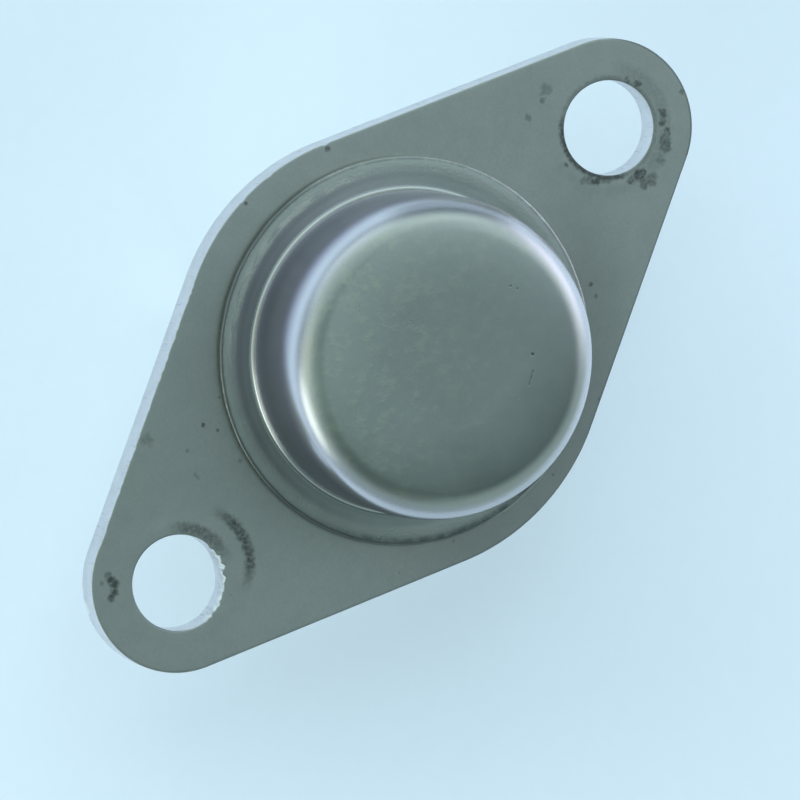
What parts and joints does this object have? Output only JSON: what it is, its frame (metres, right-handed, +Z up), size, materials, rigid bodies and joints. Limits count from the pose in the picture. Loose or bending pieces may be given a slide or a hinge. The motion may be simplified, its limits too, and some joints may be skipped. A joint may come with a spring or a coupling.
{
  "type": "power transistor",
  "caption": "Metal-can power transistor: a drawn round can welded on a diamond-shaped mounting flange, with round leads in glass seals below and the chip inside.",
  "frame": {"origin": "centre of the flange's underside, midway between the mounting holes", "axes": "+X along the line of the mounting holes, +Z up the can; the leads point along -Z and stand on the -X side of the origin"},
  "size_m": [0.0314, 0.0172, 0.0173],
  "materials": {
    "flange_nickel": "nickel-plated steel, matt, with handling marks",
    "cap_nickel": "drawn nickel-plated steel, satin",
    "lead_metal": "tinned nickel-iron",
    "seal_glass": "dark green fused glass",
    "copper": "bare copper, satin",
    "solder": "soft solder",
    "silicon": "polished silicon with aluminium contacts",
    "bond_wire": "aluminium wire"
  },
  "bodies": {
    "root": {"header": "flange_nickel", "cap": "cap_nickel", "emitter_lead": "lead_metal", "base_lead": "lead_metal", "emitter_seal": "seal_glass", "base_seal": "seal_glass", "heat_spreader": "copper", "die_solder": "solder", "die": "silicon", "emitter_wire": "bond_wire", "base_wire": "bond_wire"}
  },
  "joints": []
}
